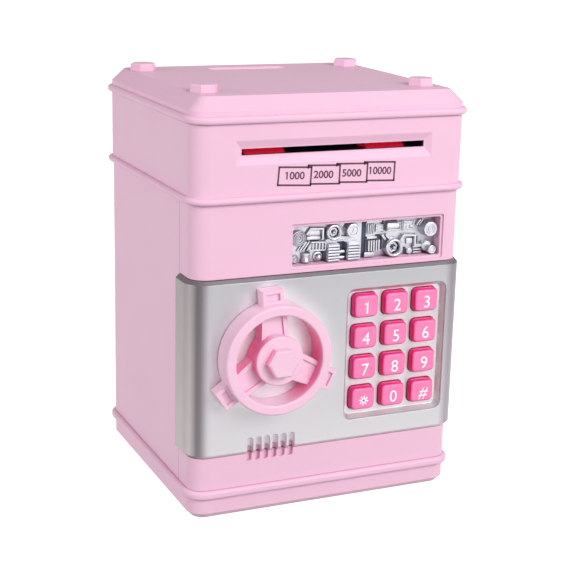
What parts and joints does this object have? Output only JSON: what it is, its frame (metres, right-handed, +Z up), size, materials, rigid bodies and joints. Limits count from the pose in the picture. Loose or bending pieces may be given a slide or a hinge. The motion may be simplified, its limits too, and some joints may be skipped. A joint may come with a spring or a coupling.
{
  "type": "toy safe coin bank",
  "caption": "Upright plastic toy safe with a hinged keypad door, a turning hand wheel and latch, a roller-fed banknote slot and a coin slot in the lid.",
  "frame": {"origin": "centre of the casing's footprint, on the plane of the standing rim and feet", "axes": "+Z up, the door and keypad face -Y, the door's hinge is on the +X side"},
  "size_m": [0.1362, 0.1418, 0.1936],
  "materials": {
    "body_pink": "satin-gloss moulded plastic",
    "knob_pink": "satin moulded plastic",
    "key_pink": "satin moulded plastic",
    "silver_panel": "satin silver paint",
    "chrome_relief": "vacuum-plated",
    "black_plastic": "matte",
    "grey_plastic": "matte",
    "red_rubber": "matte",
    "foot_rubber": "matte",
    "clear_grey_rubber": "matte",
    "steel": "plated",
    "white_plastic": "matte",
    "green_board": "solder mask",
    "cell_wrap": "gloss"
  },
  "bodies": {
    "safe": {"base_tray": "body_pink", "rubber_feet": "foot_rubber", "case_screws": "steel", "battery_cover": "body_pink", "battery_cells": "cell_wrap", "battery_contacts": "steel", "rear_shell": "body_pink", "front_frame": "body_pink", "cash_floor": "body_pink", "head_housing": "body_pink", "top_cover": "body_pink", "top_hex_bolts": "body_pink", "coin_chute": "black_plastic", "machinery_plate": "chrome_relief", "feeder_frame": "black_plastic", "feed_motor": "steel", "main_pcb": "green_board", "hinge_pins": "steel"},
    "door": {"door_shell": "body_pink", "door_panel": "silver_panel", "door_inner_cover": "body_pink", "door_screws": "steel", "key_membrane": "clear_grey_rubber", "keypad_pcb": "green_board", "speaker": "black_plastic", "lock_solenoid": "steel"},
    "hand_wheel": {"wheel_knob": "knob_pink", "knob_shaft": "white_plastic"},
    "latch": {"latch_bolt": "grey_plastic"},
    "plunger": {"solenoid_plunger": "steel"},
    "drive_roller": {"drive_roller_shaft": "steel", "drive_roller_tyres": "red_rubber", "drive_gear": "white_plastic"},
    "idler_roller": {"idler_roller_shaft": "steel", "idler_roller_tyres": "red_rubber"},
    "motor_rotor": {"motor_pinion": "white_plastic", "motor_shaft": "steel"},
    "button_1": {"key_1": "key_pink"},
    "button_2": {"key_2": "key_pink"},
    "button_3": {"key_3": "key_pink"},
    "button_4": {"key_4": "key_pink"},
    "button_5": {"key_5": "key_pink"},
    "button_6": {"key_6": "key_pink"},
    "button_7": {"key_7": "key_pink"},
    "button_8": {"key_8": "key_pink"},
    "button_9": {"key_9": "key_pink"},
    "button_star": {"key_star": "key_pink"},
    "button_0": {"key_0": "key_pink"},
    "button_hash": {"key_hash": "key_pink"}
  },
  "joints": [
    {"name": "door_hinge", "type": "hinge", "parent": "safe", "child": "door", "pos_m": [0.0581, -0.05315, 0.0711], "axis": [0, 0, 1], "range_deg": [0, 110]},
    {"name": "knob_turn", "type": "hinge", "parent": "door", "child": "hand_wheel", "pos_m": [-0.03, -0.062, 0.0761], "axis": [0, -1, 0], "range_deg": [0, 60]},
    {"name": "latch_slide", "type": "slide", "parent": "door", "child": "latch", "axis": [-1, 0, 0], "range_m": [0, 0.005]},
    {"name": "plunger_slide", "type": "slide", "parent": "door", "child": "plunger", "axis": [0, 0, 1], "range_m": [0, 0.003], "stiffness_N_per_m": 40, "springref_m": -0.003},
    {"name": "drive_roller_spin", "type": "hinge", "parent": "safe", "child": "drive_roller", "pos_m": [0, -0.046, 0.1601], "axis": [1, 0, 0], "continuous": true},
    {"name": "idler_roller_spin", "type": "hinge", "parent": "safe", "child": "idler_roller", "pos_m": [0, -0.046, 0.1727], "axis": [1, 0, 0], "continuous": true},
    {"name": "motor_spin", "type": "hinge", "parent": "safe", "child": "motor_rotor", "pos_m": [0.05, -0.03453, 0.15279], "axis": [1, 0, 0], "continuous": true},
    {"name": "press_1", "type": "slide", "parent": "door", "child": "button_1", "axis": [0, 1, 0], "range_m": [0, 0.0012], "stiffness_N_per_m": 250, "springref_m": -0.001},
    {"name": "press_2", "type": "slide", "parent": "door", "child": "button_2", "axis": [0, 1, 0], "range_m": [0, 0.0012], "stiffness_N_per_m": 250, "springref_m": -0.001},
    {"name": "press_3", "type": "slide", "parent": "door", "child": "button_3", "axis": [0, 1, 0], "range_m": [0, 0.0012], "stiffness_N_per_m": 250, "springref_m": -0.001},
    {"name": "press_4", "type": "slide", "parent": "door", "child": "button_4", "axis": [0, 1, 0], "range_m": [0, 0.0012], "stiffness_N_per_m": 250, "springref_m": -0.001},
    {"name": "press_5", "type": "slide", "parent": "door", "child": "button_5", "axis": [0, 1, 0], "range_m": [0, 0.0012], "stiffness_N_per_m": 250, "springref_m": -0.001},
    {"name": "press_6", "type": "slide", "parent": "door", "child": "button_6", "axis": [0, 1, 0], "range_m": [0, 0.0012], "stiffness_N_per_m": 250, "springref_m": -0.001},
    {"name": "press_7", "type": "slide", "parent": "door", "child": "button_7", "axis": [0, 1, 0], "range_m": [0, 0.0012], "stiffness_N_per_m": 250, "springref_m": -0.001},
    {"name": "press_8", "type": "slide", "parent": "door", "child": "button_8", "axis": [0, 1, 0], "range_m": [0, 0.0012], "stiffness_N_per_m": 250, "springref_m": -0.001},
    {"name": "press_9", "type": "slide", "parent": "door", "child": "button_9", "axis": [0, 1, 0], "range_m": [0, 0.0012], "stiffness_N_per_m": 250, "springref_m": -0.001},
    {"name": "press_star", "type": "slide", "parent": "door", "child": "button_star", "axis": [0, 1, 0], "range_m": [0, 0.0012], "stiffness_N_per_m": 250, "springref_m": -0.001},
    {"name": "press_0", "type": "slide", "parent": "door", "child": "button_0", "axis": [0, 1, 0], "range_m": [0, 0.0012], "stiffness_N_per_m": 250, "springref_m": -0.001},
    {"name": "press_hash", "type": "slide", "parent": "door", "child": "button_hash", "axis": [0, 1, 0], "range_m": [0, 0.0012], "stiffness_N_per_m": 250, "springref_m": -0.001}
  ],
  "couplings": [
    {"joint": "latch_slide", "follows": "knob_turn", "m_per_rad": 0.004774},
    {"joint": "idler_roller_spin", "follows": "drive_roller_spin", "ratio": -1},
    {"joint": "motor_spin", "follows": "drive_roller_spin", "ratio": -2.4}
  ]
}
